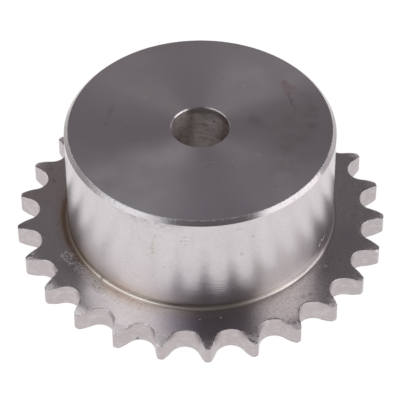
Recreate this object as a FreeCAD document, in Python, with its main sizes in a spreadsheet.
import FreeCAD, Part
import math
import os

import Sketcher

# Chain sprocket with a hub on one side, for 3/8 inch roller chain.
# One steel piece: the plate with its ring of teeth lies on z = 0, the hub stands on it, and the
# bore runs along +Z through the origin. One tooth points along -Y.

# Driving dimensions, in millimetres and degrees
SIZES = {
    "chain_pitch": 9.525,
    "tooth_count": 25,
    "seat_radius": 3.21,
    "seat_angle": 129.0,
    "flank_radius": 20.5,
    "tooth_addendum": 1.5,
    "plate_thickness": 5.1,
    "relief_radius": 10.0,
    "relief_depth": 0.5,
    "hub_diameter": 57.0,
    "overall_length": 30.0,
    "hub_root_fillet": 0.8,
    "hub_chamfer": 0.8,
    "bore_diameter": 12.0,
    "bore_chamfer": 0.25,
}

# How far the cutter of a tooth gap reaches past the tips
CUTTER_CLEARANCE = 0.6

# Expressions used by more than one feature
PITCH_RADIUS = "sizes.chain_pitch / (2 * sin(180 / sizes.tooth_count))"
HUB_RADIUS = "sizes.hub_diameter / 2"
TIP_RADIUS = f"{PITCH_RADIUS} + sizes.tooth_addendum"

# Sketcher's numbers for the points of a curve, and for a sketch's origin and vertical axis
START, END, CENTRE = range(1, 4)
ORIGIN, Y_AXIS = range(-1, -3, -1)
UP = FreeCAD.Vector(0, 0, 1)


def point(across, along):
    return FreeCAD.Vector(across, along, 0)


def arc(centre, radius, first, last):
    circle = Part.Circle(centre, UP, radius)
    return Part.ArcOfCircle(circle, math.radians(first), math.radians(last))


def pitch_radius_of(sheet):
    return sheet.chain_pitch / (2 * math.sin(math.pi / sheet.tooth_count))


def make_sheet(doc):
    sheet = doc.addObject("Spreadsheet::Sheet", "sizes")
    for row, (name, value) in enumerate(SIZES.items(), 1):
        sheet.set(f"A{row}", name)
        sheet.set(f"B{row}", str(value))
        sheet.setAlias(f"B{row}", name)
    doc.recompute()
    return sheet


def origin_feature(body, role):
    return next(item for item in body.Origin.OriginFeatures if item.Role == role)


def add_sketch(body, name, plane):
    sketch = body.newObject("Sketcher::SketchObject", name)
    sketch.AttachmentSupport = [(origin_feature(body, plane), "")]
    sketch.MapMode = "FlatFace"
    return sketch


def dimension(sketch, name, expression, kind, *where):
    """Add a named dimension to the sketch and bind it to the sheet."""
    index = sketch.addConstraint(Sketcher.Constraint(kind, *where))
    sketch.renameConstraint(index, name)
    sketch.setExpression(f"Constraints.{name}", expression)


def ring_edges(feature, radius, height):
    """Name the circular edges of the feature at this radius and height."""
    names = []
    for number, edge in enumerate(feature.Shape.Edges, 1):
        curve = edge.Curve
        if not isinstance(curve, Part.Circle):
            continue
        if abs(curve.Radius - radius) < 1e-4 and abs(curve.Center.z - height) < 1e-4:
            names.append(f"Edge{number}")
    if not names:
        raise RuntimeError(f"no ring edge of radius {radius} at height {height}")
    return names


def draw_blank(sketch, sheet):
    """Half section of the turned blank: plate with relieved rim, hub, axis."""
    tip = pitch_radius_of(sheet) + sheet.tooth_addendum
    hub = sheet.hub_diameter / 2
    thick = sheet.plate_thickness
    top = sheet.overall_length
    curve = sheet.relief_radius
    depth = sheet.relief_depth
    run = math.sqrt(2 * curve * depth - depth**2)
    turn = math.degrees(math.asin(run / curve))
    flat = tip - run

    lines = sketch.addGeometry
    back = lines(Part.LineSegment(point(0, 0), point(flat, 0)))
    back_relief = lines(arc(point(flat, curve), curve, -90, -90 + turn))
    rim = lines(Part.LineSegment(point(tip, depth), point(tip, thick - depth)))
    front_relief = lines(arc(point(flat, thick - curve), curve, 90 - turn, 90))
    front = lines(Part.LineSegment(point(flat, thick), point(hub, thick)))
    wall = lines(Part.LineSegment(point(hub, thick), point(hub, top)))
    face = lines(Part.LineSegment(point(hub, top), point(0, top)))
    axis = lines(Part.LineSegment(point(0, top), point(0, 0)))

    rules = [
        ("Coincident", back, START, ORIGIN, START),
        ("Tangent", back, END, back_relief, START),
        ("Coincident", back_relief, END, rim, START),
        ("Coincident", rim, END, front_relief, START),
        ("Tangent", front_relief, END, front, START),
        ("Coincident", front, END, wall, START),
        ("Coincident", wall, END, face, START),
        ("Coincident", face, END, axis, START),
        ("Coincident", axis, END, back, START),
        ("Horizontal", back),
        ("Horizontal", front),
        ("Horizontal", face),
        ("Vertical", rim),
        ("Vertical", wall),
        ("Vertical", axis),
        ("Equal", back_relief, front_relief),
    ]
    for rule in rules:
        sketch.addConstraint(Sketcher.Constraint(*rule))

    depth_name = "sizes.relief_depth"
    dimension(sketch, "tip_radius", TIP_RADIUS, "DistanceX", ORIGIN, START, rim, START, tip)
    dimension(sketch, "hub_radius", HUB_RADIUS, "DistanceX", ORIGIN, START, wall, START, hub)
    dimension(sketch, "thickness", "sizes.plate_thickness",
              "DistanceY", ORIGIN, START, front, START, thick)
    dimension(sketch, "length", "sizes.overall_length",
              "DistanceY", ORIGIN, START, axis, START, top)
    dimension(sketch, "relief", "sizes.relief_radius", "Radius", back_relief, curve)
    dimension(sketch, "back_depth", depth_name, "DistanceY", back, END, rim, START, depth)
    dimension(sketch, "front_depth", depth_name, "DistanceY", rim, END, front, START, depth)


def draw_tooth_gap(sketch, sheet):
    """One gap of the ring on +Y: roller seat, two convex flanks tangent to it, open end."""
    pitch_radius = pitch_radius_of(sheet)
    seat = sheet.seat_radius
    half = sheet.seat_angle / 2
    flank = sheet.flank_radius
    reach = pitch_radius + sheet.tooth_addendum + CUTTER_CLEARANCE

    across = (seat + flank) * math.sin(math.radians(half))
    along = pitch_radius - (seat + flank) * math.cos(math.radians(half))
    rise = math.degrees(math.asin((reach - along) / flank))
    mouth = across - flank * math.cos(math.radians(rise))

    lines = sketch.addGeometry
    root = lines(arc(point(0, pitch_radius), seat, -90 - half, -90 + half))
    right = lines(arc(point(across, along), flank, 180 - rise, 90 + half))
    left = lines(arc(point(-across, along), flank, 90 - half, rise))
    close = lines(Part.LineSegment(point(mouth, reach), point(-mouth, reach)))

    rules = [
        ("Tangent", right, END, root, END),
        ("Tangent", left, START, root, START),
        ("Coincident", close, START, right, START),
        ("Coincident", close, END, left, END),
        ("Horizontal", close),
        ("Horizontal", root, START, root, END),
        ("PointOnObject", root, CENTRE, Y_AXIS),
        ("Equal", right, left),
    ]
    for rule in rules:
        sketch.addConstraint(Sketcher.Constraint(*rule))

    dimension(sketch, "pitch_radius", PITCH_RADIUS,
              "DistanceY", ORIGIN, START, root, CENTRE, pitch_radius)
    dimension(sketch, "seat", "sizes.seat_radius", "Radius", root, seat)
    dimension(sketch, "seat_span", "sizes.seat_angle", "Angle", root, math.radians(2 * half))
    dimension(sketch, "flank", "sizes.flank_radius", "Radius", right, flank)
    dimension(sketch, "reach", f"{TIP_RADIUS} + {CUTTER_CLEARANCE}",
              "DistanceY", ORIGIN, START, close, START, reach)


def turn_blank(body, sheet):
    """Turn plate and hub in one, then round the hub's foot and bevel its top edge."""
    profile = add_sketch(body, "blank_profile", "XZ_Plane")
    draw_blank(profile, sheet)
    blank = body.newObject("PartDesign::Revolution", "turned_blank")
    blank.Profile = profile
    blank.ReferenceAxis = (profile, ["V_Axis"])
    blank.Angle = 360
    profile.Visibility = False
    body.Document.recompute()

    hub = sheet.hub_diameter / 2
    foot = body.newObject("PartDesign::Fillet", "hub_root_fillet")
    foot.Base = (blank, ring_edges(blank, hub, sheet.plate_thickness))
    foot.setExpression("Radius", "sizes.hub_root_fillet")
    body.Document.recompute()

    bevel = body.newObject("PartDesign::Chamfer", "hub_edge_chamfer")
    bevel.Base = (foot, ring_edges(foot, hub, sheet.overall_length))
    bevel.setExpression("Size", "sizes.hub_chamfer")
    body.Document.recompute()
    return bevel


def drill_bore(body, sheet, turned):
    """Drill the pilot bore from the hub's face and break both its edges."""
    centre = add_sketch(body, "bore_centre", "XY_Plane")
    centre.setExpression("AttachmentOffset.Base.z", "sizes.overall_length")
    circle = centre.addGeometry(Part.Circle(point(0, 0), UP, sheet.bore_diameter / 2))
    centre.addConstraint(Sketcher.Constraint("Coincident", circle, CENTRE, ORIGIN, START))
    dimension(centre, "diameter", "sizes.bore_diameter", "Diameter", circle, sheet.bore_diameter)
    body.Document.recompute()

    bore = body.newObject("PartDesign::Hole", "bore")
    bore.Profile = centre
    bore.Threaded = False
    bore.DepthType = "ThroughAll"
    bore.setExpression("Diameter", "sizes.bore_diameter")
    centre.Visibility = False
    body.Document.recompute()
    if bore.Shape.Volume >= turned.Shape.Volume:
        raise RuntimeError("the bore removed nothing")

    radius = sheet.bore_diameter / 2
    breaks = body.newObject("PartDesign::Chamfer", "bore_edge_chamfers")
    ends = ring_edges(bore, radius, 0) + ring_edges(bore, radius, sheet.overall_length)
    breaks.Base = (bore, ends)
    breaks.setExpression("Size", "sizes.bore_chamfer")
    body.Document.recompute()
    return breaks


def cut_teeth(body, sheet, bored):
    """Cut one gap through the rim and repeat it around the bore."""
    outline = add_sketch(body, "tooth_gap_profile", "XY_Plane")
    draw_tooth_gap(outline, sheet)
    gap = body.newObject("PartDesign::Pocket", "tooth_gap")
    gap.Profile = outline
    gap.Type = "ThroughAll"
    gap.Reversed = True
    outline.Visibility = False
    body.Document.recompute()

    ring = body.newObject("PartDesign::PolarPattern", "tooth_ring")
    ring.Originals = [gap]
    ring.Axis = (origin_feature(body, "Z_Axis"), [""])
    ring.Angle = 360
    ring.setExpression("Occurrences", "sizes.tooth_count")
    body.Tip = ring
    body.Document.recompute()

    one = bored.Shape.Volume - gap.Shape.Volume
    every = bored.Shape.Volume - ring.Shape.Volume
    if one <= 0 or abs(every - one * sheet.tooth_count) > 0.01 * every:
        raise RuntimeError("the ring of teeth isn't complete")


def make_sprocket(doc, sheet):
    body = doc.addObject("PartDesign::Body", "sprocket")
    body.Label = "sprocket"
    body.Placement = FreeCAD.Placement()
    turned = turn_blank(body, sheet)
    bored = drill_bore(body, sheet, turned)
    cut_teeth(body, sheet, bored)
    return body


def check(doc):
    """Stop if a feature failed or holds no sound shape."""
    for item in doc.Objects:
        if {"Invalid", "Error"} & set(item.State):
            raise RuntimeError(f"{item.Label} did not compute")
        if item.isDerivedFrom("Part::Feature") and item.Shape.isNull():
            raise RuntimeError(f"{item.Label} is empty")
        if item.isDerivedFrom("PartDesign::Feature") and not item.Shape.isValid():
            raise RuntimeError(f"{item.Label} is not valid")


def main():
    os.makedirs("parts", exist_ok=True)
    doc = FreeCAD.newDocument("chain_sprocket")
    sheet = make_sheet(doc)
    pieces = [make_sprocket(doc, sheet)]
    doc.recompute()
    check(doc)
    for piece in pieces:
        if len(piece.Shape.Solids) != 1 or not piece.Shape.isValid():
            raise RuntimeError(f"{piece.Label} is not one sound solid")
        piece.Shape.exportStep(f"parts/{piece.Label}.step")
        box = piece.Shape.optimalBoundingBox()
        print(piece.Label, f"{box.XLength:.2f} x {box.YLength:.2f} x {box.ZLength:.2f} mm",
              f"{piece.Shape.Volume:.0f} mm3")


main()
